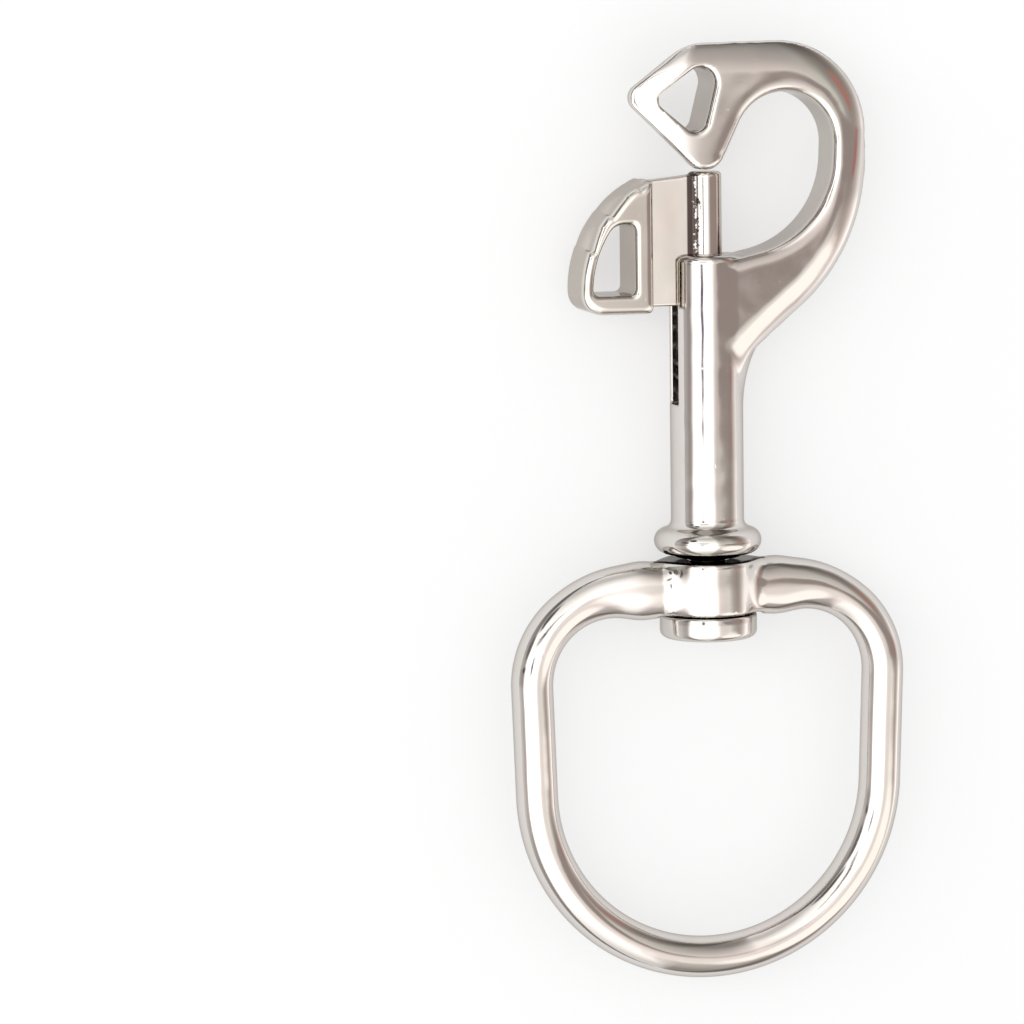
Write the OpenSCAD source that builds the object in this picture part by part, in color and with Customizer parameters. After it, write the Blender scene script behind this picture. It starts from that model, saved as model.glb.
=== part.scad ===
// Swivel snap hook: a cast hook with a slotted barrel, a spring-loaded thumb bolt that closes the hook,
// and a wide belt eye that turns on a rivet in the barrel's lower end.
// Millimetres. The hook lies on its back: the barrel runs along Y with the hook towards +Y,
// the bolt's thumb piece is on the -X side, and +Z is up from the table.
// Z = 0 is under the barrel's bead, the lowest point, and X = Y = 0 is the middle of the outline.

/* [Barrel] */
// Outside diameter of the barrel
barrel_diameter = 8.7; // [8.3:0.1:9.3]
// Length of the barrel from the bead's lower face to the open end
barrel_length = 36; // [35:0.5:39]
// Bore that the bolt and the spring run in
bore_diameter = 4.1; // [4:0.1:4.6]
// Diameter of the rounded bead at the barrel's lower end
bead_diameter = 12.8; // [12.4:0.1:13.6]
// Height of the bead
bead_height = 3.5; // [3:0.1:4]
// Width of the slot in the barrel's side
slot_width = 3; // [2.8:0.1:3.4]
// Length of the slot down from the open end
slot_length = 17.7; // [17.4:0.1:19]

/* [Hook] */
// Inside radius of the hook's bow
bow_radius = 6.1; // [5.9:0.1:6.5]
// Thickness of the hook from face to face
hook_thickness = 8.2; // [7.6:0.1:8.4]
// How far the hook's outer edges round in across its faces
outer_ease = 2.6; // [1.8:0.1:2.8]
// The same along the inside of the bow and the root of the arm
inner_ease = 1.1; // [0.8:0.1:1.3]
// How far the rounding runs down from each face
ease_height = 3.2; // [2:0.1:3.6]
// Radius of the curve that thins the head towards the beak's tip
head_curve = 26; // [22:1:60]

/* [Thumb bolt] */
// Thickness of the thumb piece from face to face
pad_thickness = 8; // [7:0.1:9]
// Radius of the thumb piece's curved rim, about a point near the barrel
pad_radius = 14.3; // [14:0.1:15]
// Width of the thumb piece's rim around its window
pad_border = 1.4; // [1.2:0.1:1.8]
// How far each grip ledge steps in from the rim
ledge_depth = 0.6; // [0.3:0.1:0.8]
// Gap on each side of the web in the slot
web_clearance = 0.3; // [0.25:0.05:0.4]
// Radial gap of the bolt in the bore
bolt_clearance = 0.08; // [0.05:0.01:0.09]
// How far the thumb piece hangs below the web
pad_drop = 0.6; // [0.2:0.1:1]
// Gap between the closed bolt and the hook's nose
nose_gap = 0.3; // [0.3:0.05:0.5]

/* [Spring] */
// Wire thickness
wire_diameter = 0.55; // [0.4:0.05:0.6]
// Turns of wire
spring_turns = 13; // [11:1:15]

/* [Swivel eye] */
// Clear width inside the eye, for the belt
eye_width = 38.5; // [35:0.5:42]
// Diameter of the eye's bar
eye_bar = 5; // [4.6:0.1:5.4]
// Length from the boss's middle to the inside of the eye's far end
eye_reach = 42.6; // [40:0.2:46]
// Outside diameter of the boss
boss_diameter = 11.2; // [10.8:0.1:11.8]
// Height of the boss along the rivet
boss_height = 6.4; // [6:0.1:7]
// Radial gap of the rivet's shank in the boss
swivel_clearance = 0.08; // [0.05:0.01:0.09]
// Gap above and below the boss
end_play = 0.3; // [0.3:0.05:0.5]

/* [Swivel rivet] */
// Diameter of the rivet's head
rivet_head_diameter = 11.6; // [11:0.1:12.2]
// Thickness of the rivet's head
rivet_head_height = 2.8; // [2.4:0.1:3.2]
// Length of the shank pressed into the barrel
rivet_grip = 8; // [7:0.5:9]

/* [Hidden] */
$fn = 72;
eps = 0.01;

// Interference that holds the rivet's shank in the barrel
press = 0.02;
rb = barrel_diameter / 2;
bore = bore_diameter / 2;
bead_r = bead_height / 2;

// The hook's outline grows with its bow. Each circle is [x, y, r] from the barrel's axis and its open end,
// and then how far the edge rounds in there
k = bow_radius / 6.1;
bow = concat([8.85, 12.9, -6.1] * k, inner_ease);
sweep = concat([3.4, 11.5, -11.5] * k, inner_ease);
crown = concat([8.15, 14.05, 10.95] * k, outer_ease);
brow = concat([-0.7, 18.6, 6.3] * k, outer_ease);
beak = concat([-7.9, 18.6, 1.85] * k, inner_ease);
nose = concat([-0.9, 12.65, 2.6] * k, inner_ease);
root = concat([0.5, -2.6, 1.6] * k, inner_ease);
foot = concat([2, -9.1, 3.7] * k, outer_ease);
elbow = concat([-3.1, 10.7, 22.3] * k, outer_ease);
// The window flares at the faces, so its edge goes the other way
window = [for (c = [[-5.45, 18.35, 1], [-2, 15.6, 1], [-1.4, 20.3, 1.7]] * k) concat(c, -0.6)];
// Angle of one step along a faceted arc
arc_step = 6;

// Levels along the barrel, from its lower face, then moved so that the whole outline is centred
hook_top = barrel_length + max(crown[1] + crown[2], brow[1] + brow[2]);
boss_top = -end_play;
boss_mid = boss_top - boss_height / 2;
boss_low = boss_top - boss_height;
rivet_top = boss_low - end_play;
eye_low = boss_mid - eye_reach - eye_bar;
mid_y = (hook_top + eye_low) / 2;
axis_z = max(bead_diameter, boss_diameter, rivet_head_diameter, pad_thickness) / 2;

// The bolt
bolt_top = barrel_length + nose[1] - nose[2] - nose_gap;
plunger_r = bore - bolt_clearance;
web = slot_width - 2 * web_clearance;
pad_side = -barrel_diameter * 0.84;
web_height = 15.75;
web_low = bolt_top - web_height;
pad_low = web_low - pad_drop;
pad_hub = [-1.7, web_low + 2.05];

// The spring fills the bore between the rivet and the bolt
spring_low = rivet_grip;
spring_length = web_low - spring_low - 0.1;
spring_pitch = spring_length / spring_turns;
spring_r = plunger_r - 0.15 - wire_diameter / 2;

// The eye: the bar's centre line runs round one large circle and two shoulder circles
half = eye_width / 2 + eye_bar / 2;
round_r = half * 0.981;
round_c = [0, boss_mid - eye_reach - eye_bar / 2 + round_r];
shoulder_r = 10.8;
shoulder_c = [half - shoulder_r, boss_mid - 0.3 - shoulder_r];
span = norm(shoulder_c - round_c);
lean = atan2(shoulder_c[1] - round_c[1], shoulder_c[0]) - acos((round_r - shoulder_r) / span);
side = [cos(lean), sin(lean)];
side_low = round_c + round_r * side;
side_top = shoulder_c + shoulder_r * side;
// The shoulder swells from the round bar to a taller arm, between these two circles
outer_r = shoulder_r + 0.7 * eye_bar;
inner_r = shoulder_r - 0.62 * eye_bar;
outer_c = side_top + (eye_bar / 2 - outer_r) * side;
inner_c = side_top - (eye_bar / 2 + inner_r) * side;
arm_top = outer_c[1] + sqrt(outer_r * outer_r - pow(inner_c[0] - outer_c[0], 2));
arm_low = inner_c[1] + inner_r;

// Moves from the plan about the barrel's axis to the table
module lay() {
    translate([0, -mid_y, axis_z]) children();
}

// Turns a shape made along Z to run along the barrel
module along_y() {
    rotate([-90, 0, 0]) children();
}

// Section of a plate's rounded edge, from the axis out to r
module edge_profile(r, t, e) {
    translate([0, -t / 2]) square([r - e, t]);
    translate([0, e - t / 2]) square([r, t - 2 * e]);
    translate([r - e, t / 2 - e]) circle(r = e);
    translate([r - e, e - t / 2]) circle(r = e);
}

// A disc of thickness t with its rim rounded by e
module round_disc(c, r, t, e) {
    translate([c[0], c[1], 0]) rotate_extrude() edge_profile(r, t, e);
}

// Cuts a hole of radius r through a plate and rounds its two edges by e
module round_hole(c, r, t, e) {
    translate([c[0], c[1], 0]) rotate_extrude() difference() {
        translate([0, -t / 2 - 1]) square([r + e, t + 2]);
        translate([r, e - t / 2]) square([2 * e, t - 2 * e]);
        translate([r + e, t / 2 - e]) circle(r = e);
        translate([r + e, e - t / 2]) circle(r = e);
    }
}

// An outline is a ring of circles, [x, y, r], in counter-clockwise order, with their common tangents between
// them. A negative r is a hollow that the outline passes on the inside. The tangents' outward directions:
function bearings(cs) = [
    for (i = [0:len(cs) - 1])
        let (a = cs[i], b = cs[(i + 1) % len(cs)], v = [b[0] - a[0], b[1] - a[1]])
        atan2(v[1], v[0]) - acos((a[2] - b[2]) / norm(v))
];

function whole_turn(x) = x - 360 * floor(x / 360);

// How far the outline turns about a circle of radius r, onwards round a boss and back round a hollow
function turning(r, from, to) = r > 0 ? whole_turn(to - from) : -whole_turn(from - to);

// The ring with each circle moved inwards by the share f of its own ease
function eased(cs, f) = [for (c = cs) [c[0], c[1], c[2] - f * c[3]]];

// The outline at the share f of the ease. Every level has the same number of points
function outline(cs, f) =
    let (whole = bearings(cs), moved = eased(cs, f), n = bearings(moved), m = len(cs))
    [
        for (i = [0:m - 1])
            let (
                c = moved[i],
                from = n[(i + m - 1) % m],
                by = turning(c[2], from, n[i]),
                steps = max(1, ceil(abs(turning(c[2], whole[(i + m - 1) % m], whole[i])) / arc_step))
            )
            for (j = [0:steps])
                let (t = from + by * j / steps)
                [c[0] + c[2] * cos(t), c[1] + c[2] * sin(t)]
    ];

// Splits a band's outline into triangles, working inwards from the two ends of its list
function strip(p, i, j) =
    j - i < 2 ? []
    : norm(p[i + 1] - p[j]) < norm(p[i] - p[j - 1])
        ? concat([[i, i + 1, j]], strip(p, i + 1, j))
        : concat([[i, j - 1, j]], strip(p, i, j - 1));

// A solid through an outline at several levels, each [share of the ease, height]
module layered(cs, levels) {
    n = len(outline(cs, 0));
    top = len(levels) - 1;
    polyhedron(
        points = [for (l = levels) for (p = outline(cs, l[0])) [p[0], p[1], l[1]]],
        faces = concat(
            strip(outline(cs, levels[0][0]), 0, n - 1),
            [for (j = [0:top - 1]) for (i = [0:n - 1])
                [j * n + i, (j + 1) * n + i, (j + 1) * n + (i + 1) % n]],
            [for (j = [0:top - 1]) for (i = [0:n - 1])
                [j * n + i, (j + 1) * n + (i + 1) % n, j * n + (i + 1) % n]],
            [for (f = strip(outline(cs, levels[top][0]), 0, n - 1))
                [top * n + f[2], top * n + f[1], top * n + f[0]]]
        )
    );
}

// A plate of thickness t whose edges round off over the height h at both faces
module eased_plate(cs, t, h) {
    layered(cs, concat(
        [for (a = [90:-22.5:0]) [1 - cos(a), -t / 2 + h * (1 - sin(a))]],
        [for (a = [0:22.5:90]) [1 - cos(a), t / 2 - h * (1 - sin(a))]]
    ));
}

// Cuts a window through a plate, flared over the height h at both faces
module eased_window(cs, t, h) {
    layered(cs, concat(
        [[1, -t / 2 - 1]],
        [for (a = [90:-45:0]) [1 - cos(a), -t / 2 + h * (1 - sin(a))]],
        [for (a = [0:45:90]) [1 - cos(a), t / 2 - h * (1 - sin(a))]],
        [[1, t / 2 + 1]]
    ));
}

// Everything between the hook's two faces: they are flat over the bow and curve in towards the beak's tip
module face_limits() {
    start = -1;
    t = hook_thickness;
    translate([start, -40, -t / 2]) cube([60, 80, t]);
    intersection() {
        for_face(1, start) cylinder(r = head_curve, h = 30, $fn = 144);
        for_face(-1, start) cylinder(r = head_curve, h = 30, $fn = 144);
    }
}

// Lays a cylinder along Y so that its side touches the upper or the lower face at x
module for_face(s, x) {
    translate([x, 5, s * (hook_thickness / 2 - head_curve)]) along_y() children();
}

// The bow, its arm and its beaked head in one outline, with the root of the arm inside the barrel
module hook_plate() {
    difference() {
        intersection() {
            eased_plate([foot, elbow, crown, brow, beak, nose, bow, sweep, root], hook_thickness, ease_height);
            face_limits();
        }
        eased_window(window, hook_thickness, 1);
    }
}

// The barrel with its bead, before it is bored and slotted
module barrel_blank() {
    lip = 0.6;
    along_y() rotate_extrude() {
        square([rb, barrel_length - lip]);
        square([rb - lip, barrel_length]);
        intersection() {
            translate([rb - lip, barrel_length - lip]) circle(r = lip);
            translate([0, barrel_length - lip]) square([rb, lip]);
        }
        square([bead_diameter / 2 - bead_r, bead_height]);
        translate([bead_diameter / 2 - bead_r, bead_r]) circle(r = bead_r);
        polygon([[0, bead_height - 0.4], [rb + 0.75, bead_height - 0.4], [rb, bead_height + 1.1], [0, bead_height + 1.1]]);
    }
}

// The slot in the barrel's side, with eased lips and a rounded mouth
module side_slot() {
    h = slot_width / 2;
    low = barrel_length - slot_length;
    mouth = 1.2;
    translate([0, low, 0]) rotate([-90, 0, 0]) linear_extrude(height = slot_length + 1)
        polygon([[0, -h], [0.6 - rb + 0.15, -h], [-rb - 1, -h - 1.15], [-rb - 1, h + 1.15], [0.75 - rb, h], [0, h]]);
    for (s = [-1, 1])
        translate([-rb - 1, barrel_length, s * h]) rotate([0, 90, 0]) linear_extrude(height = rb - bore + 1)
            difference() {
                translate([-mouth, -mouth]) square([2 * mouth, mouth + 1]);
                translate([-s * mouth, -mouth]) circle(r = mouth);
                translate([s > 0 ? 0 : -mouth - 1, -mouth]) square([mouth + 1, mouth + 1]);
            }
}

// Hook, barrel and bead: one casting
module hook_body() {
    color([0.78, 0.76, 0.74]) lay() difference() {
        union() {
            barrel_blank();
            translate([0, barrel_length, 0]) hook_plate();
        }
        translate([0, -1, 0]) along_y() cylinder(r = bore, h = barrel_length + 1 + 1);
        side_slot();
    }
}

// A box with the edges that run along its longest side rounded by e
module eased_box(low, high, e, turn) {
    v = high - low;
    w = turn == 0 ? v[0] : v[1];
    long = turn == 0 ? v[1] : v[0];
    translate((low + high) / 2) rotate(turn == 0 ? [90, 0, 0] : [90, 0, 90])
        linear_extrude(height = long, center = true) {
            square([w - 2 * e, v[2]], center = true);
            square([w, v[2] - 2 * e], center = true);
            for (x = [-1, 1], y = [-1, 1])
                translate([x * (w / 2 - e), y * (v[2] / 2 - e)]) circle(r = e);
        }
}

// The D-shaped thumb piece with its window and grip ledges
module thumb_piece() {
    t = pad_thickness;
    e = 0.8;
    inner = pad_radius - pad_border;
    right = pad_side - 2.2;
    window_low = web_low + 1.65;
    window_height = 8.3;
    difference() {
        intersection() {
            round_disc(pad_hub, pad_radius, t, e);
            eased_box([-20, pad_low - 5, -t / 2], [pad_side, bolt_top + 5, t / 2], e, 0);
            eased_box([-20, pad_low, -t / 2], [5, bolt_top + 5, t / 2], e, 1);
        }
        difference() {
            translate([0, 0, -t]) linear_extrude(height = 2 * t) intersection() {
                translate(pad_hub) circle(r = inner);
                translate([-20, window_low]) square([20 + right, window_height]);
            }
            translate([right, window_low, -t]) eased_corner(0.8, 1, -1);
            translate([right, window_low + window_height, -t]) eased_corner(0.8, 1, 1);
        }
        for (a = [122, 141, 160]) grip_ledge(a);
    }
}

// What a rounded corner of radius r leaves standing in a square hole
module eased_corner(r, sx, sy) {
    linear_extrude(height = 2 * pad_thickness) difference() {
        translate([sx > 0 ? -r : -eps, sy > 0 ? -r : -eps]) square([r + eps, r + eps]);
        translate([-sx * r, -sy * r]) circle(r = r);
    }
}

// A ledge across the rim that faces the nose, for the thumb to pull on
module grip_ledge(a) {
    p = pad_hub + pad_radius * [cos(a), sin(a)];
    q = pad_hub + pad_radius * [cos(a - 11), sin(a - 11)];
    translate([0, 0, -pad_thickness]) linear_extrude(height = 2 * pad_thickness)
        polygon([p + [ledge_depth, 0], p - [0.4, 0], q + [-1.4, 1.4], q]);
}

// Plunger, web and thumb piece: one casting
module bolt() {
    ease = 0.45;
    color([0.8, 0.77, 0.73]) lay() union() {
        translate([0, web_low, 0]) along_y() {
            cylinder(r = plunger_r, h = bolt_top - web_low - ease);
            translate([0, 0, bolt_top - web_low - ease]) cylinder(r1 = plunger_r, r2 = plunger_r - ease, h = ease);
        }
        // The web's top slopes down from the plunger to the rim
        translate([0, 0, -web / 2]) linear_extrude(height = web)
            polygon([[0, web_low], [0, bolt_top - 0.2], [pad_side - 0.4, bolt_top - 0.95], [pad_side - 0.4, web_low]]);
        thumb_piece();
    }
}

// Section of the round wire where a level plane cuts the coil
module coil_section() {
    n = 4;
    w = 180 * wire_diameter / spring_pitch;
    function rim(i, s) =
        let (a = w * sin(90 * i / n), g = wire_diameter / 2 * cos(90 * i / n))
        (spring_r + s * g) * [cos(a), sin(a)];
    polygon(concat([for (i = [-n:n]) rim(i, 1)], [for (i = [n - 1:-1:1 - n]) rim(i, -1)]));
}

// The compression spring in the barrel
module spring() {
    color([0.6, 0.6, 0.62]) lay() translate([0, spring_low + 0.05, 0]) along_y()
        linear_extrude(height = spring_length, twist = -360 * spring_turns, slices = 14 * spring_turns, segments = 16)
            coil_section();
}

// One side of the eye: the straight bar, the swelling shoulder and the arm to the boss
module eye_side() {
    v = side_top - side_low;
    t = eye_bar + 0.1;
    e = eye_bar * 0.46;
    translate([side_low[0], side_low[1], 0]) rotate([0, 0, atan2(v[1], v[0])]) rotate([0, 90, 0])
        cylinder(d = eye_bar, h = norm(v) + 0.5);
    intersection() {
        difference() {
            round_disc(outer_c, outer_r + 0.05, t, e);
            round_hole(inner_c, inner_r - 0.05, t, e);
        }
        translate([0, 0, -eye_bar]) linear_extrude(height = 2 * eye_bar)
            polygon([inner_c, inner_c + 30 * side, inner_c + [40, 30], inner_c + [0, 30]]);
    }
    rotate([90, 0, 90]) linear_extrude(height = inner_c[0] + 0.01) {
        translate([arm_low, e - t / 2]) square([arm_top - arm_low, t - 2 * e]);
        translate([arm_low + e, -t / 2]) square([arm_top - arm_low - 2 * e, t]);
        for (y = [arm_top - e, arm_low + e], z = [e - t / 2, t / 2 - e])
            translate([y, z]) circle(r = e);
    }
}

// The belt eye and its boss: one casting that turns on the rivet
module swivel_eye() {
    ease = 0.5;
    color([0.77, 0.76, 0.75]) lay() difference() {
        union() {
            eye_side();
            mirror([1, 0, 0]) eye_side();
            // The round end is a hair thinner than the sides, and its ends sit just inside them
            translate([round_c[0], round_c[1], 0]) rotate([0, 0, 179 - lean])
                rotate_extrude(angle = 182 + 2 * lean) translate([round_r, 0]) circle(d = eye_bar - 0.04);
            translate([0, boss_low, 0]) along_y() {
                cylinder(r1 = boss_diameter / 2 - ease, r2 = boss_diameter / 2, h = ease);
                translate([0, 0, ease]) cylinder(d = boss_diameter, h = boss_height - 2 * ease);
                translate([0, 0, boss_height - ease])
                    cylinder(r1 = boss_diameter / 2, r2 = boss_diameter / 2 - ease, h = ease);
            }
        }
        translate([0, boss_low - 1, 0]) along_y() cylinder(r = bore + swivel_clearance, h = boss_height + 2);
    }
}

// The rivet that carries the eye: a round head below the boss, and a shank pressed into the barrel
module swivel_rivet() {
    ease = 0.9;
    color([0.75, 0.74, 0.73]) lay() along_y() rotate_extrude() {
        translate([0, rivet_top - rivet_head_height + ease])
            square([rivet_head_diameter / 2, rivet_head_height - ease]);
        translate([0, rivet_top - rivet_head_height]) square([rivet_head_diameter / 2 - ease, ease]);
        intersection() {
            translate([rivet_head_diameter / 2 - ease, rivet_top - rivet_head_height + ease]) circle(r = ease);
            translate([0, rivet_top - rivet_head_height]) square([rivet_head_diameter, ease]);
        }
        translate([0, rivet_top]) square([bore, -rivet_top + 0.4]);
        translate([0, 0.4]) square([bore + press, rivet_grip - 0.8]);
        polygon([[0, rivet_grip - 0.4], [bore + press, rivet_grip - 0.4], [bore - 0.4, rivet_grip], [0, rivet_grip]]);
    }
}

hook_body();
bolt();
spring();
swivel_eye();
swivel_rivet();
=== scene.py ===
"""Swivel snap hook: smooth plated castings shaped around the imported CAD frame, on a pale floor."""
import math

import bpy
import numpy as np
from mathutils import Matrix, Vector


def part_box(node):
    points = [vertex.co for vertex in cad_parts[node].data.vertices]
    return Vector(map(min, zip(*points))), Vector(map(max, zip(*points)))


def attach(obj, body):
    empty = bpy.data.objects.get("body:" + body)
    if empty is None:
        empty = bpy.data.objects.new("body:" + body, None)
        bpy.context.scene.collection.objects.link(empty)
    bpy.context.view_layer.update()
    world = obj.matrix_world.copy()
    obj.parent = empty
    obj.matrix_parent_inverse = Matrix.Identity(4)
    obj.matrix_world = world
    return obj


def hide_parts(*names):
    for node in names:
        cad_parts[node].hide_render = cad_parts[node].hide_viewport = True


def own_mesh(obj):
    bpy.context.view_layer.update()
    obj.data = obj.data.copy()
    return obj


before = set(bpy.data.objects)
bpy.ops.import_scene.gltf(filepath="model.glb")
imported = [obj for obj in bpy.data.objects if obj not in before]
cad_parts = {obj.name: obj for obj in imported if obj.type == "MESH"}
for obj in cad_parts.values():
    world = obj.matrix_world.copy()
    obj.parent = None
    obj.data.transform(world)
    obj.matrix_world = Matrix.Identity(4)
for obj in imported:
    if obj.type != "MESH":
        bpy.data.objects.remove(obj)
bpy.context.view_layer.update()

# Sizes, in millimetres
# Plan coordinates: x from the barrel's axis, y up the barrel from its lower face, z from the axis.
MM = 0.001
# The frame's origin lies this far up the barrel, and the barrel's axis this far above the floor
MID_Y = 4.95
AXIS_Z = 6.4

# The hook's casting
BARREL_R = 4.35
BARREL_LENGTH = 36.0
BORE_R = 2.05
BEAD_R = 6.4
BEAD_HEIGHT = 3.5
NECK = 0.45
SLOT_HALF = 1.5
SLOT_LOW = 18.3
# The slot is cut past the barrel's open end
SLOT_TOP = 37.5
HOOK_HALF = 4.1

# The thumb bolt
BOLT_TOP = 45.75
BOLT_LOW = 30.0
PAD_LOW = 29.4
PAD_WINDOW_LOW = 31.65
PAD_WINDOW_HEIGHT = 8.3
PAD_WINDOW_IN = 2.2
PAD_HALF = 4.0
PAD_SIDE = -7.308
PAD_HUB = (-1.7, 32.05)
PAD_RADIUS = 14.3
PAD_BORDER = 1.4
PLUNGER_R = 1.97
WEB_HALF = 1.2
# Three small steps in the pad's rim, by their angle at the hub
LEDGE_ANGLES = (122, 141, 160)
LEDGE_SPAN = 11
LEDGE_DEPTH = 0.45

# The swivel eye
BAR_R = 2.5
HALF_WIDTH = 21.75
ROUND_R = 21.337
ROUND_Y = -27.263
SHOULDER_R = 10.8
SHOULDER_Y = -14.6
BOSS_TOP = -0.3
BOSS_LOW = -6.7
BOSS_R = 5.6
ARM_HALF = 3.28
PIN_GAP = 0.08

# The rivet
RIVET_TOP = -6.85
RIVET_HEAD_R = 5.8
RIVET_HEAD_HEIGHT = 2.8
RIVET_GRIP = 8.0

# The spring
SPRING_LOW = 8.05
SPRING_LENGTH = 21.9
SPRING_HIGH = SPRING_LOW + SPRING_LENGTH
SPRING_R = 1.545
WIRE_R = 0.275
SPRING_TURNS = 13

# Where shade is painted into the gap between the bead and the eye's boss: its level, half height and reach
# in metres, and the painted shade's colour
GAP_Y = (0.02 - MID_Y) * MM
GAP_HALF = 0.48 * MM
GAP_R = 6.9 * MM
PAINTED_GAP_SHADE = (0.03, 0.027, 0.025)
# Shade painted into the join of the bolt's web and plunger, as a dark base colour
PAINTED_CORNER_SHADE = (0.09, 0.07, 0.065)


def place(points):
    """Plan coordinates in millimetres to the frame in metres."""
    return (np.asarray(points, float) + np.array([0.0, -MID_Y, AXIS_Z])) * MM


# Signed distances
def length2(a, b):
    return np.sqrt(a * a + b * b)


def smooth_min(a, b, k):
    h = np.clip(0.5 + 0.5 * (b - a) / k, 0.0, 1.0)
    return b + (a - b) * h - k * h * (1.0 - h)


def smooth_max(a, b, k):
    return -smooth_min(-a, -b, k)


def smooth_step(low, high, v):
    t = np.clip((v - low) / (high - low), 0.0, 1.0)
    return t * t * (3.0 - 2.0 * t)


def slab(d, z, half, e):
    """A plan distance d made into a plate of half thickness half, with its edges rounded by e."""
    a = d + e
    b = np.abs(z) - (half - e)
    return length2(np.maximum(a, 0.0), np.maximum(b, 0.0)) + np.minimum(np.maximum(a, b), 0.0) - e


def slab_hole(d, z, half, e):
    """What cutting a hole leaves: d is the plan distance from the hole's outline, negative in the hole."""
    return slab(-d, z, half, e)


def eased_slab(d, z, half, across, down, power=2.0):
    """The side of a plate towards +z: its edge rounds in by across on the face, and by down below it.

    The rounding starts gently, so that the face runs into it without a line. A low power makes it a slope.
    """
    a = (np.maximum(d + across, 0.0) / across) ** 1.25
    b = np.maximum(z - (half - down), 0.0) / down
    return ((a ** power + b ** power) ** (1.0 / power) - 1.0) * np.minimum(across, down)


def bearings(circles):
    """Outward directions of the common tangents of a ring of circles, each (x, y, r)."""
    out = []
    for i, (x, y, r) in enumerate(circles):
        x2, y2, r2 = circles[(i + 1) % len(circles)]
        gap = math.hypot(x2 - x, y2 - y)
        out.append(math.atan2(y2 - y, x2 - x) - math.acos((r - r2) / gap))
    return out


def ring_pieces(circles):
    """The arcs and tangents of a ring of circles, as arc and line tuples in order."""
    turn = bearings(circles)
    pieces = []
    for i, (x, y, r) in enumerate(circles):
        pieces.append(("arc", i, x, y, r, turn[i - 1], turn[i]))
        x2, y2, r2 = circles[(i + 1) % len(circles)]
        n = (math.cos(turn[i]), math.sin(turn[i]))
        a = (x + r * n[0], y + r * n[1])
        b = (x2 + r2 * n[0], y2 + r2 * n[1])
        pieces.append(("line", i, a, b, n))
    return pieces


def pieces_distance(pieces, x, y):
    """Signed plan distance to the nearest of the pieces, negative inside the outline."""
    best = np.full(x.shape, 1e9)
    for piece in pieces:
        if piece[0] == "arc":
            _, _, cx, cy, r, start, end = piece
            sign = 1.0 if r > 0 else -1.0
            vx, vy = x - cx, y - cy
            angle = np.arctan2(sign * vy, sign * vx)
            span = (sign * (end - start)) % (2 * math.pi)
            inside = (sign * (angle - start)) % (2 * math.pi) <= span
            d = np.where(inside, sign * (length2(vx, vy) - abs(r)), 1e9)
        else:
            _, _, a, b, n = piece
            ux, uy = b[0] - a[0], b[1] - a[1]
            t = np.clip(((x - a[0]) * ux + (y - a[1]) * uy) / (ux * ux + uy * uy), 0.0, 1.0)
            gap = length2(x - a[0] - t * ux, y - a[1] - t * uy)
            d = np.where((x - a[0]) * n[0] + (y - a[1]) * n[1] >= 0, gap, -gap)
        best = np.where(np.abs(d) < np.abs(best), d, best)
    return best


def chain_distance(pieces, end, x, y):
    """The same for an open chain of pieces: past its end, the depth is the distance from that end."""
    d = pieces_distance(pieces, x, y)
    gap = length2(x - end[0], y - end[1])
    return np.where(gap < np.abs(d), -gap, d)


def convex_distance(points, x, y):
    """Plan distance to a convex polygon in counter-clockwise order, sharp cornered."""
    d = np.full(x.shape, -1e9)
    for (ax, ay), (bx, by) in zip(points, points[1:] + points[:1]):
        ux, uy = bx - ax, by - ay
        norm = math.hypot(ux, uy)
        d = np.maximum(d, ((x - ax) * uy - (y - ay) * ux) / norm)
    return d


def rod(rho, y, r, low, high, e):
    """A cylinder along the barrel from low to high, with its ends rounded by e."""
    a = rho - (r - e)
    b = np.abs(y - (low + high) / 2) - ((high - low) / 2 - e)
    return length2(np.maximum(a, 0.0), np.maximum(b, 0.0)) + np.minimum(np.maximum(a, b), 0.0) - e


# The hook and its barrel
# Circles of the outline, in order: foot, elbow, crown, brow, beak, nose, bow, sweep, root
HOOK_RING = [
    (2.0, -9.1, 3.7), (-3.1, 10.7, 22.3), (8.15, 14.05, 10.95), (-0.7, 18.6, 6.3), (-7.9, 18.6, 1.85),
    (-0.9, 12.65, 2.6), (8.85, 12.9, -6.1), (3.4, 11.5, -11.5), (0.5, -2.6, 1.6),
]
HOOK_WINDOW = [(-5.2, 18.3, 1.25), (-2.15, 15.95, 1.4), (-1.5, 20.2, 1.8)]
NOSE, ROOT = 5, 8
# The faces of the head curve in with this radius, left of HEAD_RIGHT and above HEAD_LOW
HEAD_CURVE = 26.0
HEAD_RIGHT = -1.0
HEAD_LOW = 8.0
# How much lower the faces lie at the inside edge of the bow and at its outer limb
FACE_CROWN = 0.14
LIMB_DROP = 0.5
HOOK_PIECES = ring_pieces(HOOK_RING)
OUTER_PIECES = [p for p in HOOK_PIECES if p[1] < NOSE or p[1] == ROOT or p[:2] == ("arc", NOSE)]
INNER_PIECES = [p for p in HOOK_PIECES if p not in OUTER_PIECES or p[:2] == ("arc", ROOT)]
# Where the nose's arc ends, on the inside of the bow
NOSE_END = next(p[2] for p in HOOK_PIECES if p[:2] == ("line", NOSE))
WINDOW_PIECES = ring_pieces(HOOK_WINDOW)


def hook_face(x, py, within):
    """Half the thickness of the hook's plate from place to place."""
    # The faces curve in towards the beak's tip, and are slightly crowned towards the inside of the bow
    across_head = np.where(py > HEAD_LOW, np.minimum(x - HEAD_RIGHT, 0.0), 0.0)
    face = HOOK_HALF - across_head ** 2 / (2.0 * HEAD_CURVE)
    face = face - FACE_CROWN * np.exp(-np.maximum(-within, 0.0) ** 2)
    # The bow is drawn in a little towards its outer limb, and sooner at its root
    root = smooth_step(10.0, 4.0, py)
    return face - LIMB_DROP * smooth_step(2.0 - 4.0 * root, 20.0 - 6.0 * root, x)


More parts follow.
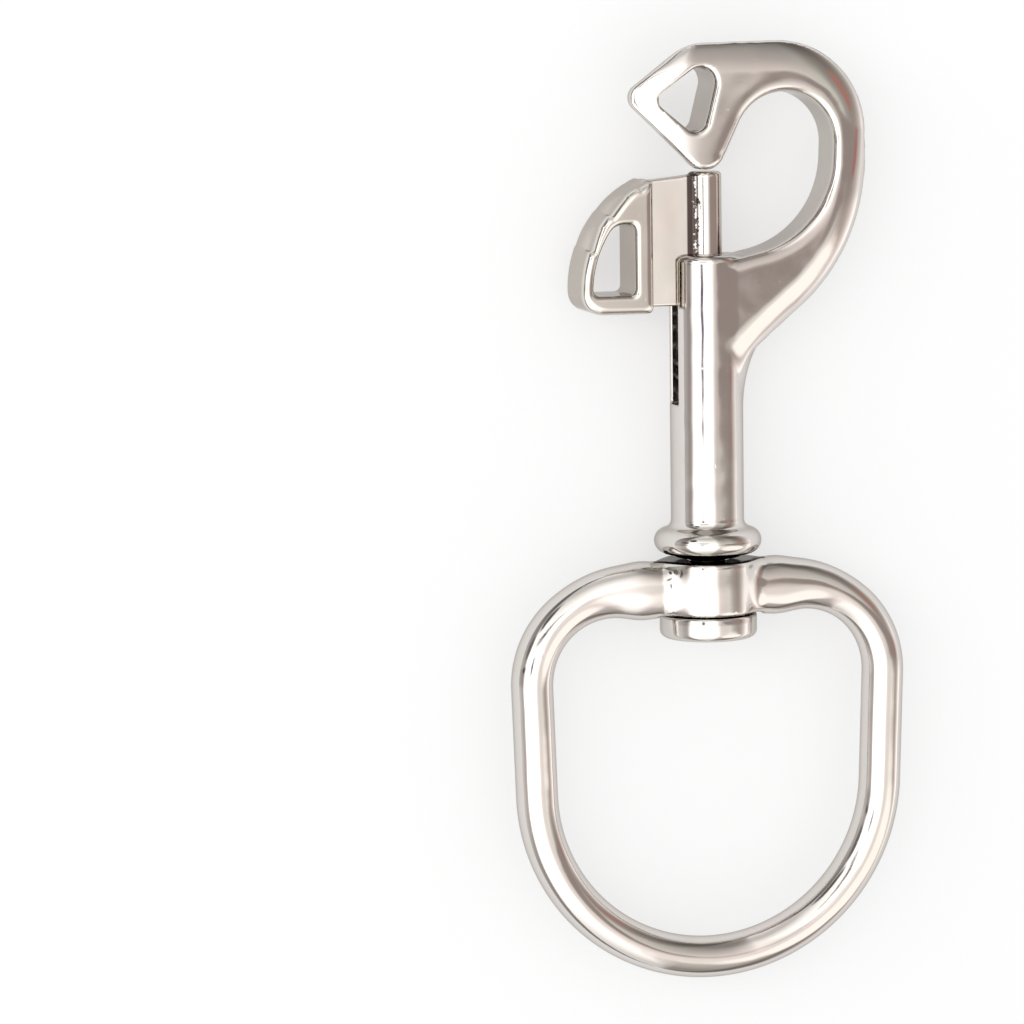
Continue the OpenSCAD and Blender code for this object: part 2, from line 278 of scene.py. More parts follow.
def hook_plate(x, py, z):
    """The bow and the head, with an edge that is eased by different amounts from place to place."""
    away = chain_distance(OUTER_PIECES, NOSE_END, x, py)
    within = pieces_distance(INNER_PIECES, x, py)
    face = hook_face(x, py, within)
    # The outer edge rounds in far over the faces, but little round the beak and the nose.
    # Below the bow it also rounds down through most of the thickness.
    low = smooth_step(19.0, 16.0, py)
    nose_x, nose_y = HOOK_RING[NOSE][:2]
    off_nose = smooth_step(3.4, 6.5, length2(x - nose_x, py - nose_y))
    broad = smooth_step(-7.0 + 2.5 * low, -1.0 + 3.0 * low, x) * off_nose
    deep = smooth_step(1.0, 10.0, x) * (0.5 + 0.5 * smooth_step(15.0, 7.0, py))
    # The front edge of the head is crisp, and its back slopes away from the outline
    head = smooth_step(1.5, -3.0, x) * smooth_step(8.0, 9.5, py)
    arch = np.maximum(head, smooth_step(13.0, 18.0, py))
    crisp = 1.0 - 0.5 * head * (1.0 - smooth_step(18.0, 21.0, py) * smooth_step(-8.0, -5.0, x))
    across, down = crisp * (1.0 + 2.6 * broad), crisp * (1.0 + 0.8 * deep)
    front = eased_slab(away, z, face, across, down, 2.0 - 0.72 * broad)
    rear_down = down + (2.0 * face - 0.1 - 2.0 * down) * arch
    rear = eased_slab(away, -z, face, across + 1.7 * arch, rear_down, 2.0 - 0.6 * arch)
    outer = np.maximum(front, rear)
    inner = np.maximum(eased_slab(within, z, face, crisp, crisp), eased_slab(within, -z, face, 1.0, 1.0))
    plate = smooth_max(outer, inner, 0.2)
    return smooth_max(plate, slab_hole(pieces_distance(WINDOW_PIECES, x, py), z, HOOK_HALF, 0.75), 0.1)


def barrel_and_bead(rho, y):
    """The barrel, with the bead on a short neck at its lower end."""
    barrel = rod(rho, y, BARREL_R, 0.0, BARREL_LENGTH, 0.75)
    bead_r = (BEAD_HEIGHT - NECK) / 2
    bead = length2(np.maximum(rho - (BEAD_R - bead_r), 0.0), y - BEAD_HEIGHT + bead_r) - bead_r
    return smooth_min(barrel, bead, 0.1 + smooth_step(1.2, 2.2, y))


def slot_field(x, y, z):
    """The slot in the barrel's side, which widens towards its front lip and towards its mouth."""
    lip = 0.72 * np.where(z > 0.0, np.maximum(-3.75 - x, 0.0), 0.0)
    half = SLOT_HALF + lip + 0.5 * smooth_step(35.0, 36.4, y)
    level = np.abs(y - (SLOT_LOW + SLOT_TOP) / 2) - (SLOT_TOP - SLOT_LOW) / 2
    return np.maximum(np.maximum(np.abs(z) - half, x), level)


def hook_field(p):
    x, y, z = p[:, 0], p[:, 1], p[:, 2]
    rho = length2(x, z)
    # The fillet under the arm is wide at mid-thickness and fades towards the faces
    blend = 0.5 + 2.4 * smooth_step(33.0, 27.0, y) * smooth_step(4.0, 1.0, np.abs(z))
    body = smooth_min(barrel_and_bead(rho, y), hook_plate(x, y - BARREL_LENGTH, z), blend)
    bore = np.maximum(rho - BORE_R, y - BARREL_LENGTH - 1.0)
    body = smooth_max(body, -bore, 0.3)
    return smooth_max(body, -slot_field(x, y, z), 0.1 + 0.3 * smooth_step(-0.5, 0.5, z))


# The thumb bolt
def rim_point(angle):
    a = math.radians(angle)
    return PAD_HUB[0] + PAD_RADIUS * math.cos(a), PAD_HUB[1] + PAD_RADIUS * math.sin(a)


def ledge(angle):
    """The wedge that is cut from the pad's rim above a step, and runs out up the rim."""
    p, q = rim_point(angle), rim_point(angle - LEDGE_SPAN)
    return [(p[0] + LEDGE_DEPTH, p[1]), q, (q[0] - 1.4, q[1] + 1.4), (p[0] - 0.4, p[1])]


LEDGES = [ledge(a) for a in LEDGE_ANGLES]
# The web's top slopes down a little to the pad, and its end is sunk into it
WEB_END = PAD_SIDE - 0.4
WEB_OUTLINE = [(0.0, BOLT_LOW), (0.0, BOLT_TOP - 0.2), (WEB_END, BOLT_TOP - 0.95), (WEB_END, BOLT_LOW)]


def bolt_field(p):
    x, y, z = p[:, 0], p[:, 1], p[:, 2]
    disc = length2(x - PAD_HUB[0], y - PAD_HUB[1])
    plan = smooth_max(disc - PAD_RADIUS, PAD_LOW - y, 2.6)
    plan = smooth_max(plan, x - PAD_SIDE, 0.8)
    # The steps fade towards the back
    for wedge in LEDGES:
        fade = LEDGE_DEPTH * smooth_step(2.0, -2.0, z)
        plan = smooth_max(plan, -convex_distance(wedge, x, y) - fade, 0.4)
    pad = slab(plan, z, PAD_HALF, 0.85)
    hole = smooth_max(disc - (PAD_RADIUS - PAD_BORDER), x - (PAD_SIDE - PAD_WINDOW_IN), 0.9)
    tall = PAD_WINDOW_HEIGHT / 2
    hole = smooth_max(hole, np.abs(y - PAD_WINDOW_LOW - tall) - tall, 0.9)
    pad = smooth_max(pad, slab_hole(hole, z, PAD_HALF, 0.6), 0.1)
    # The web's faces draw in a little towards the pad
    half = WEB_HALF + 0.05 * np.clip(x + 2.0, -6.0, 0.0)
    web = slab(convex_distance(WEB_OUTLINE, x, y), z, half, 0.25)
    rho = length2(x, z)
    plunger = rod(rho, y, PLUNGER_R, BOLT_LOW, BOLT_TOP, 0.5)
    return smooth_min(smooth_min(pad, web, 0.5), plunger, 0.25)


# The swivel eye
SHOULDER_C = (HALF_WIDTH - SHOULDER_R, SHOULDER_Y)


def eye_line():
    """Half of the bar's centre line: the round end, the side, the shoulder and the arm."""
    span = math.hypot(SHOULDER_C[0], SHOULDER_C[1] - ROUND_Y)
    lean = math.atan2(SHOULDER_C[1] - ROUND_Y, SHOULDER_C[0]) - math.acos((ROUND_R - SHOULDER_R) / span)
    n = (math.cos(lean), math.sin(lean))
    low = (ROUND_R * n[0], ROUND_Y + ROUND_R * n[1])
    top = (SHOULDER_C[0] + SHOULDER_R * n[0], SHOULDER_C[1] + SHOULDER_R * n[1])
    arm = SHOULDER_C[1] + SHOULDER_R
    return [
        ("arc", 0, 0.0, ROUND_Y, ROUND_R, -math.pi, lean),
        ("line", 0, low, top, n),
        ("arc", 1, SHOULDER_C[0], SHOULDER_C[1], SHOULDER_R, lean, math.pi / 2),
        ("line", 1, (SHOULDER_C[0], arm), (-1.0, arm), (0.0, 1.0)),
    ]


EYE_LINE = eye_line()


def eye_field(p):
    x, y, z = np.abs(p[:, 0]), p[:, 1], p[:, 2]
    side = pieces_distance(EYE_LINE, x, y)
    swell = smooth_step(19.5, 7.0, x) * smooth_step(-16.0, -8.0, y)
    arm = smooth_step(-16.0, -11.0, y)
    # The bar grows taller and thicker along the arm, and its faces flatten
    half = BAR_R + (ARM_HALF - BAR_R) * swell + 0.25 * arm * np.exp(-((x - 8.4) / 2.0) ** 2)
    thick = BAR_R + 0.5 * arm * smooth_step(15.5, 5.0, x)
    s2 = (side / half) ** 2
    flat = 0.75 * swell
    bar = (np.sqrt((1.0 - flat) * s2 + flat * s2 * s2 + (z / thick) ** 2) - 1.0) * BAR_R
    rho = length2(x, z)
    boss = rod(rho, y, BOSS_R, BOSS_LOW, BOSS_TOP, 0.35)
    # The blend would swell the boss's flat ends, so near the rivet they are cut back
    both = smooth_min(bar, boss, 1.4)
    near = smooth_step(7.5, 6.3, rho) * smooth_step(-16.0, -13.0, y)
    both = np.maximum(both, near * np.maximum(y - BOSS_TOP, BOSS_LOW - y) - 3.0 * (1.0 - near))
    bore = np.maximum(rho - BORE_R - PIN_GAP, BOSS_LOW - 2.0 - y)
    return smooth_max(both, -bore, 0.2)


# Making the pieces
def new_object(name, mesh, body, nodes):
    obj = bpy.data.objects.new(name, mesh)
    bpy.context.scene.collection.objects.link(obj)
    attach(obj, body)
    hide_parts(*nodes)
    return obj


def remeshed(node, voxel):
    """A CAD node's surface as an even mesh, in plan millimetres."""
    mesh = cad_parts[node].data.copy()
    mesh.transform(Matrix.Scale(1000.0, 4))
    mesh.transform(Matrix.Translation(Vector((0.0, MID_Y, -AXIS_Z))))
    work = bpy.data.objects.new(node + "_work", mesh)
    bpy.context.scene.collection.objects.link(work)
    weld = work.modifiers.new("weld", "WELD")
    weld.merge_threshold = 0.002
    grid = work.modifiers.new("grid", "REMESH")
    grid.mode = "VOXEL"
    grid.voxel_size = voxel
    grid.adaptivity = 0.0
    bpy.context.view_layer.update()
    result = bpy.data.meshes.new_from_object(work.evaluated_get(bpy.context.evaluated_depsgraph_get()))
    bpy.data.objects.remove(work)
    return result


def slope(field, p, step=0.02):
    """Gradient of a field by differences at four corners."""
    g = np.zeros_like(p)
    for k in ((1, 1, 1), (1, -1, -1), (-1, 1, -1), (-1, -1, 1)):
        k = np.array(k, float)
        g += field(p + step * k)[:, None] * k
    return g / (4.0 * step)


def settle(points, field, steps, reach=0.35):
    """Moves points along the field's slope until they lie on its zero surface, by at most reach a step."""
    p = points.copy()
    for _ in range(steps):
        f = field(p)
        g = slope(field, p)
        size = np.maximum((g * g).sum(1), 0.2)
        move = -(f / size)[:, None] * g
        far = np.linalg.norm(move, axis=1)
        move *= np.minimum(1.0, reach / np.maximum(far, 1e-9))[:, None]
        p += move
    return p


def neighbours(mesh):
    """Edge ends of a mesh, for relaxing it."""
    edges = np.zeros(len(mesh.edges) * 2, np.int32)
    mesh.edges.foreach_get("vertices", edges)
    return edges.reshape(-1, 2)


def relax(p, edges, amount):
    """Moves each point part of the way to the mean of its neighbours."""
    total = np.zeros_like(p)
    count = np.zeros(len(p))
    for a, b in ((0, 1), (1, 0)):
        np.add.at(total, edges[:, a], p[edges[:, b]])
        np.add.at(count, edges[:, a], 1.0)
    return p + amount * (total / np.maximum(count, 1.0)[:, None] - p)


def casting(name, node, field, voxel, body):
    """A CAD node made over as a smooth casting: an even mesh drawn onto a rounded distance field."""
    mesh = remeshed(node, voxel)
    mesh.name = name
    p = np.zeros(len(mesh.vertices) * 3)
    mesh.vertices.foreach_get("co", p)
    p = p.reshape(-1, 3)
    edges = neighbours(mesh)
    # Relaxing evens the points out, and settling puts them back on the surface
    for _ in range(4):
        p = relax(p, edges, 0.5)
        p = settle(p, field, 3)
    p = settle(p, field, 4)
    low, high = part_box(node)
    p = np.clip(place(p), np.array(low), np.array(high))
    mesh.vertices.foreach_set("co", p.ravel())
    mesh.update()
    mesh.shade_smooth()
    return new_object(name, mesh, body, [node])


def lathe(name, profile, steps, body, nodes):
    """A solid of revolution about the barrel's axis from (radius, y) points."""
    verts, faces = [], []
    n = len(profile)
    for i in range(steps):
        a = 2 * math.pi * i / steps
        verts += [(r * math.cos(a), y, r * math.sin(a)) for r, y in profile]
    for i in range(steps):
        j = (i + 1) % steps
        faces += [(i * n + k, j * n + k, j * n + k + 1, i * n + k + 1) for k in range(n - 1)]
    faces.append(tuple(i * n for i in range(steps))[::-1])
    faces.append(tuple(i * n + n - 1 for i in range(steps)))
    mesh = bpy.data.meshes.new(name)
    mesh.from_pydata([tuple(v) for v in place(verts)], [], faces)
    mesh.update()
    mesh.shade_smooth()
    return new_object(name, mesh, body, nodes)


def arc(cx, cy, r, start, end, steps):
    return [(cx + r * math.cos(math.radians(start + (end - start) * i / steps)),
             cy + r * math.sin(math.radians(start + (end - start) * i / steps))) for i in range(steps + 1)]


def spring_mesh(name, body):
    """The coil, with a flat closing turn at each end."""
    per_turn, around = 28, 10
    wire = 2 * WIRE_R
    total = per_turn * SPRING_TURNS
    verts, faces = [], []
    low, high = SPRING_LOW + WIRE_R, SPRING_HIGH - WIRE_R
    end = 1.0 / SPRING_TURNS
    for i in range(total + 1):
        s = i / total
        # A closed turn at each end, then an even pitch
        t = min(max((s - end) / (1 - 2 * end), 0.0), 1.0)
        closed = wire * min(s / end, 1.0) + wire * max((s - 1 + end) / end, 0.0)
        y = low + closed + (high - low - 2 * wire) * t
        a = 2 * math.pi * SPRING_TURNS * s
        for j in range(around):
            b = 2 * math.pi * j / around
            r = SPRING_R + WIRE_R * math.cos(b)
            verts.append((r * math.cos(a), y + WIRE_R * math.sin(b), r * math.sin(a)))
    for i in range(total):
        for j in range(around):
            k = (j + 1) % around
            faces.append((i * around + j, i * around + k, (i + 1) * around + k, (i + 1) * around + j))
    faces.append(tuple(range(around))[::-1])
    faces.append(tuple(total * around + j for j in range(around)))
    mesh = bpy.data.meshes.new(name)
    mesh.from_pydata([tuple(v) for v in place(verts)], [], faces)
    mesh.update()
    mesh.shade_smooth()
    obj = new_object(name, mesh, body, ["spring"])
    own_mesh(obj)
    return obj


def rivet_profile():
    """The rivet's (radius, y) points: the head with a round rim, then the shank up into the barrel."""
    low = RIVET_TOP - RIVET_HEAD_HEIGHT
    rim, crease, centre = 0.9, 0.25, 0.02
    points = [(r, low) for r in (centre, 1.5, 3.0, 4.3)]
    points += arc(RIVET_HEAD_R - rim, low + rim, rim, -90, 0, 8)
    points += [(RIVET_HEAD_R, low + 1.4), (RIVET_HEAD_R, low + 1.9)]
    points += arc(RIVET_HEAD_R - crease, RIVET_TOP - crease, crease, 0, 90, 4)
    points += [(3.5, RIVET_TOP), (BORE_R + 0.2, RIVET_TOP), (BORE_R, RIVET_TOP + 0.15)]
    points += [(BORE_R, y) for y in (-3.0, 0.4, RIVET_GRIP - 0.4)]
    return points + [(BORE_R - 0.4, RIVET_GRIP), (centre, RIVET_GRIP)]


body_piece = casting("hook_casting", "hook_body", hook_field, 0.26, "hook")
bolt_piece = casting("thumb_bolt", "bolt", bolt_field, 0.17, "thumb_bolt")
eye_piece = casting("belt_eye", "swivel_eye", eye_field, 0.28, "eye")
rivet_piece = lathe("rivet", rivet_profile(), 96, "hook", ["swivel_rivet"])
spring_piece = spring_mesh("coil_spring", "hook")


# Materials
def grey(v):
    return (v, v, v)


class Graph:
    """A material's node tree, with a short call for each kind of node."""

    def __init__(self, name):
        self.material = bpy.data.materials.new(name)
        self.material.use_nodes = True
        self.nodes = self.material.node_tree.nodes
        self.links = self.material.node_tree.links
        self.nodes.clear()
        self.surface = self.add("OutputMaterial").inputs["Surface"]
        self.where = self.add("TexCoord").outputs["Object"]

    def add(self, kind):
        return self.nodes.new("ShaderNode" + kind)

    def feed(self, socket, value):
        """Sets a socket to a number or a vector, or links an output to it."""
        if isinstance(value, (int, float, tuple)):
            socket.default_value = value
        else:
            self.links.new(value, socket)

    def math(self, operation, a, b=None):
        n = self.add("Math")
        n.operation = operation
        self.feed(n.inputs[0], a)
        if b is not None:
            self.feed(n.inputs[1], b)
        return n.outputs["Value"]

    def vector_math(self, operation, a, b=None):
        n = self.add("VectorMath")
        n.operation = operation
        self.feed(n.inputs[0], a)
        if b is not None:
            self.feed(n.inputs[1], b)
        return n.outputs

    def split(self, vector):
        n = self.add("SeparateXYZ")
        self.links.new(vector, n.inputs["Vector"])
        return n.outputs["X"], n.outputs["Y"], n.outputs["Z"]

    def noise(self, where, scale, detail=2.0, rough=0.5, distort=0.0):
        n = self.add("TexNoise")
        n.inputs["Scale"].default_value = scale
        n.inputs["Detail"].default_value = detail
        n.inputs["Roughness"].default_value = rough
        n.inputs["Distortion"].default_value = distort
        self.links.new(where, n.inputs["Vector"])
        return n.outputs["Fac"]

    def ramp(self, value, stops):
        """A colour ramp with its stops, each a place and a colour, in rising order."""
        n = self.add("ValToRGB")
        line = n.color_ramp.elements
        line[0].position, line[1].position = stops[0][0], stops[-1][0]
        line[0].color, line[1].color = (*stops[0][1], 1.0), (*stops[-1][1], 1.0)
        for at, colour in stops[1:-1]:
            line.new(at).color = (*colour, 1.0)
        self.links.new(value, n.inputs["Fac"])
        return n.outputs["Color"]

    def angle_ramp(self, degrees, stops, gain):
        """A ramp over -90 to 90 degrees, with its colours divided by gain to fit below 1."""
        share = self.math("DIVIDE", self.math("ADD", degrees, 90.0), 180.0)
        return self.ramp(share, [((a + 90) / 180, tuple(c / gain for c in colour)) for a, colour in stops])

    def mix(self, how, factor, first, second):
        """Two colours, each a tuple or an output, mixed in one of Blender's ways."""
        n = self.add("Mix")
        n.data_type = "RGBA"
        n.blend_type = how
        self.feed(n.inputs[0], factor)
        for socket, value in ((n.inputs[6], first), (n.inputs[7], second)):
            self.feed(socket, (*value, 1.0) if isinstance(value, tuple) else value)
        return n.outputs[2]

    def bump(self, height, strength, distance, under=None):
        n = self.add("Bump")
        n.inputs["Strength"].default_value = strength
        n.inputs["Distance"].default_value = distance
        self.links.new(height, n.inputs["Height"])
        if under is not None:
            self.links.new(under, n.inputs["Normal"])
        return n.outputs["Normal"]


def principled(name):
    """A new graph with a surface shader, and that shader."""
    graph = Graph(name)
    shader = graph.add("BsdfPrincipled")
    graph.links.new(shader.outputs["BSDF"], graph.surface)
    return graph, shader


def painted_gap_shade_mask(graph):
    """Where shade is painted: 1 in the narrow gap between the bead and the eye's boss, and 0 elsewhere."""
    x, y, z = graph.split(graph.where)
    level = graph.math("ABSOLUTE", graph.math("SUBTRACT", y, GAP_Y))
    up = graph.math("SUBTRACT", z, AXIS_Z * MM)
    squares = graph.math("ADD", graph.math("MULTIPLY", x, x), graph.math("MULTIPLY", up, up))
    near_level = graph.math("LESS_THAN", level, GAP_HALF)
    near_axis = graph.math("LESS_THAN", squares, GAP_R ** 2)
    return graph.math("MULTIPLY", near_level, near_axis)


def painted_corner_shade_mask(graph):
    """Where shade is painted into the bolt's web-to-plunger join: 1 over the end of the web, breaking up
    into flecks over the plunger's side.
    """
    x = graph.split(graph.where)[0]
    start = graph.math("ADD", graph.math("DIVIDE", x, MM), 3.0)
    near = graph.ramp(start, [(0.42, grey(0.0)), (0.56, grey(1.0))])
    flecks = graph.math("MULTIPLY", graph.noise(graph.where, 1600.0, 3.0, 0.7), 1.5)
    reach = graph.math("ADD", graph.math("DIVIDE", x, 2.0 * MM), flecks)
    fade = graph.ramp(reach, [(0.0, grey(1.0)), (0.1, grey(0.0))])
    return graph.math("MULTIPLY", near, fade)


def plated(name, tint, wave=1.0, corner=False):
    """Bright nickel plate: warm and cool patches, soft casting waves, fine polish and a few pits.

    Shade is painted into its base colour in the gap between the barrel and the eye, and in the bolt's
    web-to-plunger join.
    """
    graph, shader = principled(name)
    where = graph.where
    shader.inputs["Metallic"].default_value = 1.0
    tone = graph.noise(where, 110.0, 3.0, 0.55, 0.4)
    colour = graph.ramp(tone, [
        (0.25, (tint[0] * 0.95, tint[1] * 0.97, tint[2] * 0.93)),
        (0.5, tint),
        (0.75, (tint[0] * 1.02, tint[1] * 0.985, tint[2] * 0.99)),
    ])
    # Painted shade: the gap between the bead and the eye's boss gets a near-black base colour
    colour = graph.mix("MIX", painted_gap_shade_mask(graph), colour, PAINTED_GAP_SHADE)
    # Painted shade in the join of the bolt's web and plunger, in flecks over the plunger's side
    if corner:
        colour = graph.mix("MIX", painted_corner_shade_mask(graph), colour, PAINTED_CORNER_SHADE)
    graph.links.new(colour, shader.inputs["Base Color"])
    haze = graph.noise(where, 420.0, 4.0, 0.6)
    graph.links.new(graph.ramp(haze, [(0.3, grey(0.06)), (0.75, grey(0.13))]), shader.inputs["Roughness"])
    # Nickel loses some light towards its outlines
    shader.inputs["Specular Tint"].default_value = (0.62, 0.60, 0.58, 1.0)
    waves = graph.noise(where, 150.0, 1.0, 0.4, 0.3)
    polish = graph.noise(where, 1500.0, 2.0, 0.5)
    pits = graph.ramp(graph.noise(where, 700.0, 3.0, 0.7), [(0.24, grey(0.0)), (0.32, grey(1.0))])
    normal = graph.bump(waves, 0.3 * wave, 0.0004)
    normal = graph.bump(polish, 0.03, 0.00003, normal)
    normal = graph.bump(pits, 0.15, 0.00005, normal)
    graph.links.new(normal, shader.inputs["Normal"])
    return graph.material


def spring_steel(name):
    """Drawn wire: grey, dull in places, with fine marks."""
    graph, shader = principled(name)
    shader.inputs["Metallic"].default_value = 1.0
    tone = graph.noise(graph.where, 900.0, 3.0)
    colour = graph.ramp(tone, [(0.3, (0.42, 0.42, 0.43)), (0.7, (0.58, 0.58, 0.6))])
    graph.links.new(colour, shader.inputs["Base Color"])
    graph.links.new(graph.ramp(tone, [(0.3, grey(0.25)), (0.7, grey(0.4))]), shader.inputs["Roughness"])
    marks = graph.noise(graph.where, 6000.0, 2.0)
    graph.links.new(graph.bump(marks, 0.2, 0.00002), shader.inputs["Normal"])
    return graph.material


def wear(obj, mat):
    obj.data.materials.clear()
    obj.data.materials.append(mat)


nickel = plated("plated_zinc_casting", (0.70, 0.665, 0.635))
wear(body_piece, nickel)
wear(eye_piece, nickel)
# The bolt also gets the painted shade in the join of its web and plunger
wear(bolt_piece, plated("plated_zinc_bolt", (0.71, 0.67, 0.625), 0.8, True))
wear(rivet_piece, plated("plated_steel_rivet", (0.69, 0.66, 0.63), 0.5))
wear(spring_piece, spring_steel("drawn_spring_wire"))
for node in ("hook_body", "bolt", "spring", "swivel_eye", "swivel_rivet"):
    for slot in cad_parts[node].material_slots:
        slot.material = nickel


# Floor, light and camera
def stage_object(name, mesh, mat):
    """An object that isn't part of the hook."""
    obj = bpy.data.objects.new(name, mesh)
    bpy.context.scene.collection.objects.link(obj)
    mesh.materials.append(mat)
    return obj


def floor_material():
    """Pale and matt. The camera and the reflections see it lifted towards white, and the shadow stays."""
    graph, shader = principled("pale_floor")
    shader.inputs["Roughness"].default_value = 0.9
    shader.inputs["Specular IOR Level"].default_value = 0.1
    tone = graph.noise(graph.where, 6.0, 2.0)
    graph.links.new(graph.ramp(tone, [(0.3, grey(0.93)), (0.7, grey(0.95))]), shader.inputs["Base Color"])
    rays = graph.add("LightPath").outputs
    seen = graph.math("MAXIMUM", rays["Is Camera Ray"], rays["Is Glossy Ray"])
    seen = graph.math("MAXIMUM", seen, rays["Is Transmission Ray"])
    white = graph.add("Emission")
    lift = graph.add("MixShader")
    graph.links.new(graph.math("MULTIPLY", seen, 0.5), lift.inputs["Fac"])
    graph.links.new(shader.outputs["BSDF"], lift.inputs[1])
    graph.links.new(white.outputs["Emission"], lift.inputs[2])
    graph.links.new(lift.outputs["Shader"], graph.surface)
    return graph.material


FLOOR_HALF = 4.0
floor_mesh = bpy.data.meshes.new("floor")
corners = [(-1, -1), (1, -1), (1, 1), (-1, 1)]
floor_mesh.from_pydata([(FLOOR_HALF * x, FLOOR_HALF * y, 0.0) for x, y in corners], [], [(0, 1, 2, 3)])
floor = stage_object("floor", floor_mesh, floor_material())
floor.matrix_world = Vector((0, 0, 1)).to_track_quat("Z", "Y").to_matrix().to_4x4()

world = bpy.data.worlds.new("studio")
bpy.context.scene.world = world
world.use_nodes = True
background = world.node_tree.nodes["Background"].inputs
background["Color"].default_value = (1.0, 1.0, 1.0, 1.0)
background["Strength"].default_value = 0.95


def area_light(name, at, size, size_y, power):
    """A rectangular lamp that points at the frame's origin."""
    data = bpy.data.lights.new(name, "AREA")
    data.shape = "RECTANGLE"
    data.size = size
    data.size_y = size_y
    data.energy = power
    obj = bpy.data.objects.new(name, data)
    bpy.context.scene.collection.objects.link(obj)
    obj.location = at
    obj.rotation_euler = Vector(at).to_track_quat("Z", "Y").to_euler()


area_light("left_box", (-0.5, 0.15, 0.45), 0.30, 0.9, 1.2)

# A dome round the work that only shows in reflections
# Its brightness is one ramp by the angle across the barrel times another by the angle along it, in degrees
# from overhead.
DOME_RADIUS = 0.65
DOME_GAIN = 2.0
ACROSS = [
    (-90, (0.60, 0.60, 0.59)), (-80, (0.52, 0.50, 0.49)), (-74, (0.42, 0.39, 0.38)),
    (-66, (0.42, 0.39, 0.38)), (-61, (1.0, 0.96, 0.95)), (-55, (1.9, 1.9, 1.88)), (3, (1.75, 1.72, 1.68)),
    (8, (1.15, 1.10, 1.07)), (14, (0.80, 0.74, 0.71)), (24, (0.75, 0.70, 0.67)), (36, (0.74, 0.74, 0.69)),
    (47, (0.46, 0.42, 0.39)), (58, (0.36, 0.32, 0.29)), (66, (0.42, 0.37, 0.34)), (74, (0.64, 0.58, 0.55)),
    (84, (1.1, 1.06, 1.03)), (90, (1.15, 1.12, 1.10)),
]
ALONG = [
    (-90, grey(0.5)), (-70, grey(0.5)), (-52, grey(0.78)), (-38, grey(0.95)), (-26, grey(1.3)),
    (-17, grey(1.45)), (-10, grey(1.4)), (-6, grey(1.0)), (1, grey(1.0)), (4.5, grey(1.2)), (9, grey(1.1)),
    (20, grey(0.92)), (37, grey(0.68)), (52, grey(0.42)), (66, grey(0.42)), (80, grey(0.6)),
]
# Things in the room: centre and half size in those angles, how ragged, and colour
ROOM = [
    ((-27.0, -1.5), (4.0, 4.5), 2.4, (0.09, 0.07, 0.17)),
    ((-24.0, 14.0), (16.0, 4.0), 5.0, (0.16, 0.14, 0.15)),
    ((39.0, 0.0), (24.0, 7.5), 0.5, (0.39, 0.33, 0.31)),
    ((44.0, -30.0), (32.0, 20.0), 0.4, (1.5, 1.44, 1.38)),
    ((-50.0, 37.0), (11.0, 12.0), 0.8, (0.14, 0.13, 0.13)),
    ((-66.0, 17.0), (10.0, 10.0), 0.8, (0.16, 0.15, 0.15)),
    ((-67.0, 1.2), (9.0, 2.2), 1.2, (0.10, 0.08, 0.08)),
    ((66.0, -1.5), (4.0, 4.5), 0.8, (0.52, 0.22, 0.22)),
    ((57.0, 20.0), (5.0, 10.0), 0.8, (0.55, 0.25, 0.21)),
]


def dome_mesh():
    """A half sphere over the floor, in rings from the top down."""
    rings, spokes = 12, 48
    verts = [(0.0, 0.0, DOME_RADIUS)]
    for i in range(1, rings + 1):
        tilt = math.pi / 2 * i / rings
        height, reach = DOME_RADIUS * math.cos(tilt), DOME_RADIUS * math.sin(tilt)
        for j in range(spokes):
            turn = 2 * math.pi * j / spokes
            verts.append((reach * math.cos(turn), reach * math.sin(turn), height))
    faces = [(0, 1 + j, 1 + (j + 1) % spokes) for j in range(spokes)]
    for i in range(rings - 1):
        a = 1 + i * spokes
        for j in range(spokes):
            k = (j + 1) % spokes
            faces.append((a + j, a + spokes + j, a + spokes + k, a + k))
    mesh = bpy.data.meshes.new("dome")
    mesh.from_pydata(verts, [], faces)
    return mesh


def room_mask(graph, at, centre, half, ragged):
    """1 inside the ragged ellipse of a thing in the room, and 0 outside."""
    away = graph.vector_math("SUBTRACT", at, (*centre, 0.0))["Vector"]
    scaled = graph.vector_math("DIVIDE", away, (*half, 1.0))["Vector"]
    size = graph.vector_math("LENGTH", scaled)["Value"]
    torn = graph.math("MULTIPLY", graph.math("SUBTRACT", graph.noise(at, 0.55, 4.0, 0.65), 0.5), ragged)
    return graph.ramp(graph.math("ADD", size, torn), [(0.75, grey(1.0)), (1.0, grey(0.0))])


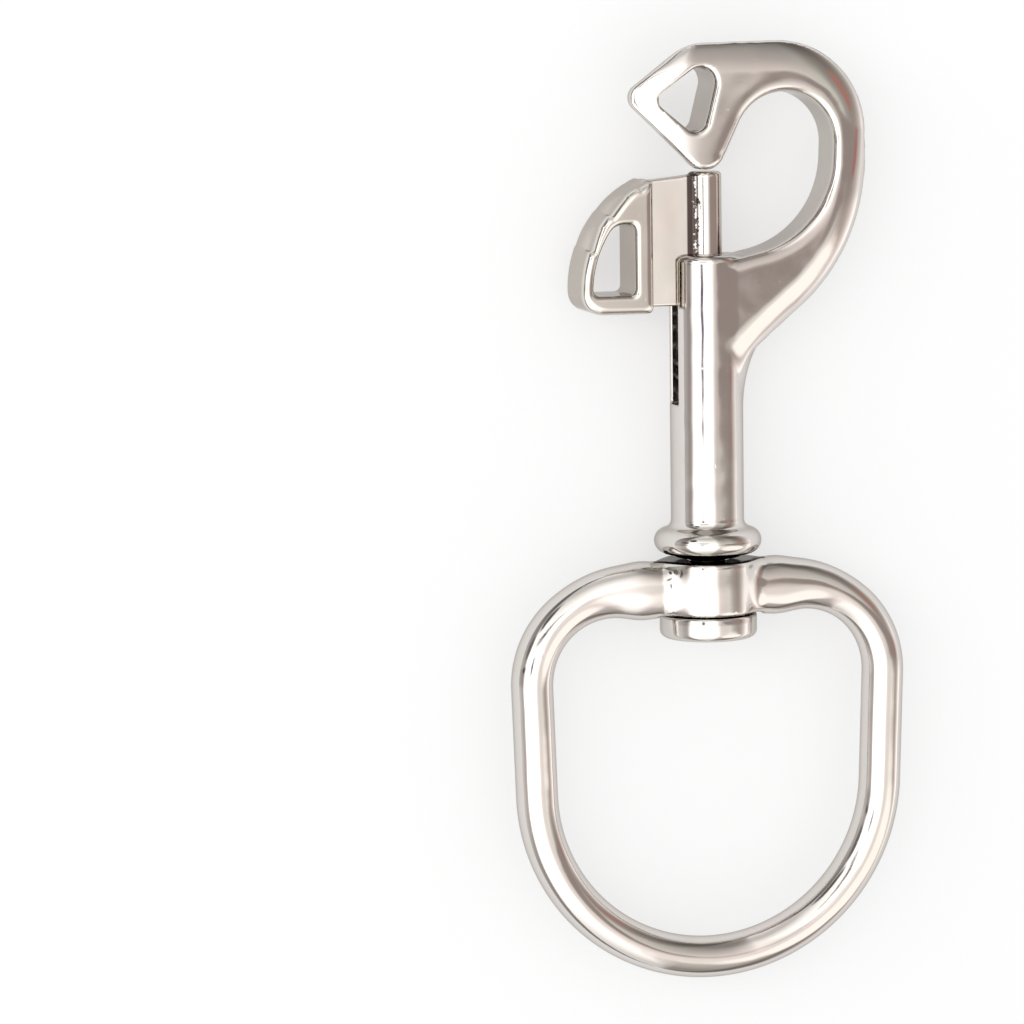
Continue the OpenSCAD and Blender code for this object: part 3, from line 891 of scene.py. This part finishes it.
def dome_material():
    graph = Graph("dome_light")
    x, y, z = graph.split(graph.where)
    degree = math.degrees(1.0)
    across = graph.math("MULTIPLY", graph.math("ARCTAN2", x, z), degree)
    along = graph.math("ARCSINE", graph.math("DIVIDE", y, DOME_RADIUS))
    along = graph.math("MULTIPLY", along, degree)
    colour = graph.mix("MULTIPLY", 1.0, graph.angle_ramp(across, ACROSS, DOME_GAIN),
                       graph.angle_ramp(along, ALONG, 1.0))
    at = graph.add("CombineXYZ")
    graph.links.new(across, at.inputs["X"])
    graph.links.new(along, at.inputs["Y"])
    for centre, half, ragged, tone in ROOM:
        mask = room_mask(graph, at.outputs["Vector"], centre, half, ragged)
        colour = graph.mix("MIX", mask, colour, tuple(c / DOME_GAIN for c in tone))
    glow = graph.add("Emission")
    glow.inputs["Strength"].default_value = DOME_GAIN
    graph.links.new(colour, glow.inputs["Color"])
    graph.links.new(glow.outputs["Emission"], graph.surface)
    return graph.material


dome = stage_object("dome", dome_mesh(), dome_material())
dome.visible_camera = False
dome.visible_diffuse = False
dome.visible_shadow = False
dome.visible_transmission = False
dome.visible_volume_scatter = False

# The camera, fitted to the photograph
# It stands 541 mm away, 13.6 degrees round towards -X and 7.2 towards +Y.
THETA, PHI, ROLL = math.radians(13.6), math.radians(7.2), math.radians(0.80)
DISTANCE = 541.2
TARGET = Vector((-23.9, 1.35, 6.4))
FOCAL_PX = 4600.0
IMAGE_PX = 1024.0
SENSOR = 36.0
back = Vector((-math.sin(THETA) * math.cos(PHI), math.sin(PHI), math.cos(THETA) * math.cos(PHI)))
right0 = Vector((math.cos(THETA), 0.0, math.sin(THETA)))
up0 = back.cross(right0)
right = math.cos(ROLL) * right0 - math.sin(ROLL) * up0
up = math.sin(ROLL) * right0 + math.cos(ROLL) * up0
eye_at = (TARGET + back * DISTANCE) * MM
camera_data = bpy.data.cameras.new("camera")
camera = bpy.data.objects.new("camera", camera_data)
bpy.context.scene.collection.objects.link(camera)
camera_data.sensor_width = SENSOR
camera_data.lens = FOCAL_PX / IMAGE_PX * SENSOR
camera_data.clip_start = 0.01
camera_data.clip_end = 20.0
camera.matrix_world = Matrix((
    (right.x, up.x, back.x, eye_at.x),
    (right.y, up.y, back.y, eye_at.y),
    (right.z, up.z, back.z, eye_at.z),
    (0.0, 0.0, 0.0, 1.0),
))
bpy.context.scene.camera = camera
bpy.context.scene.view_settings.view_transform = "Standard"
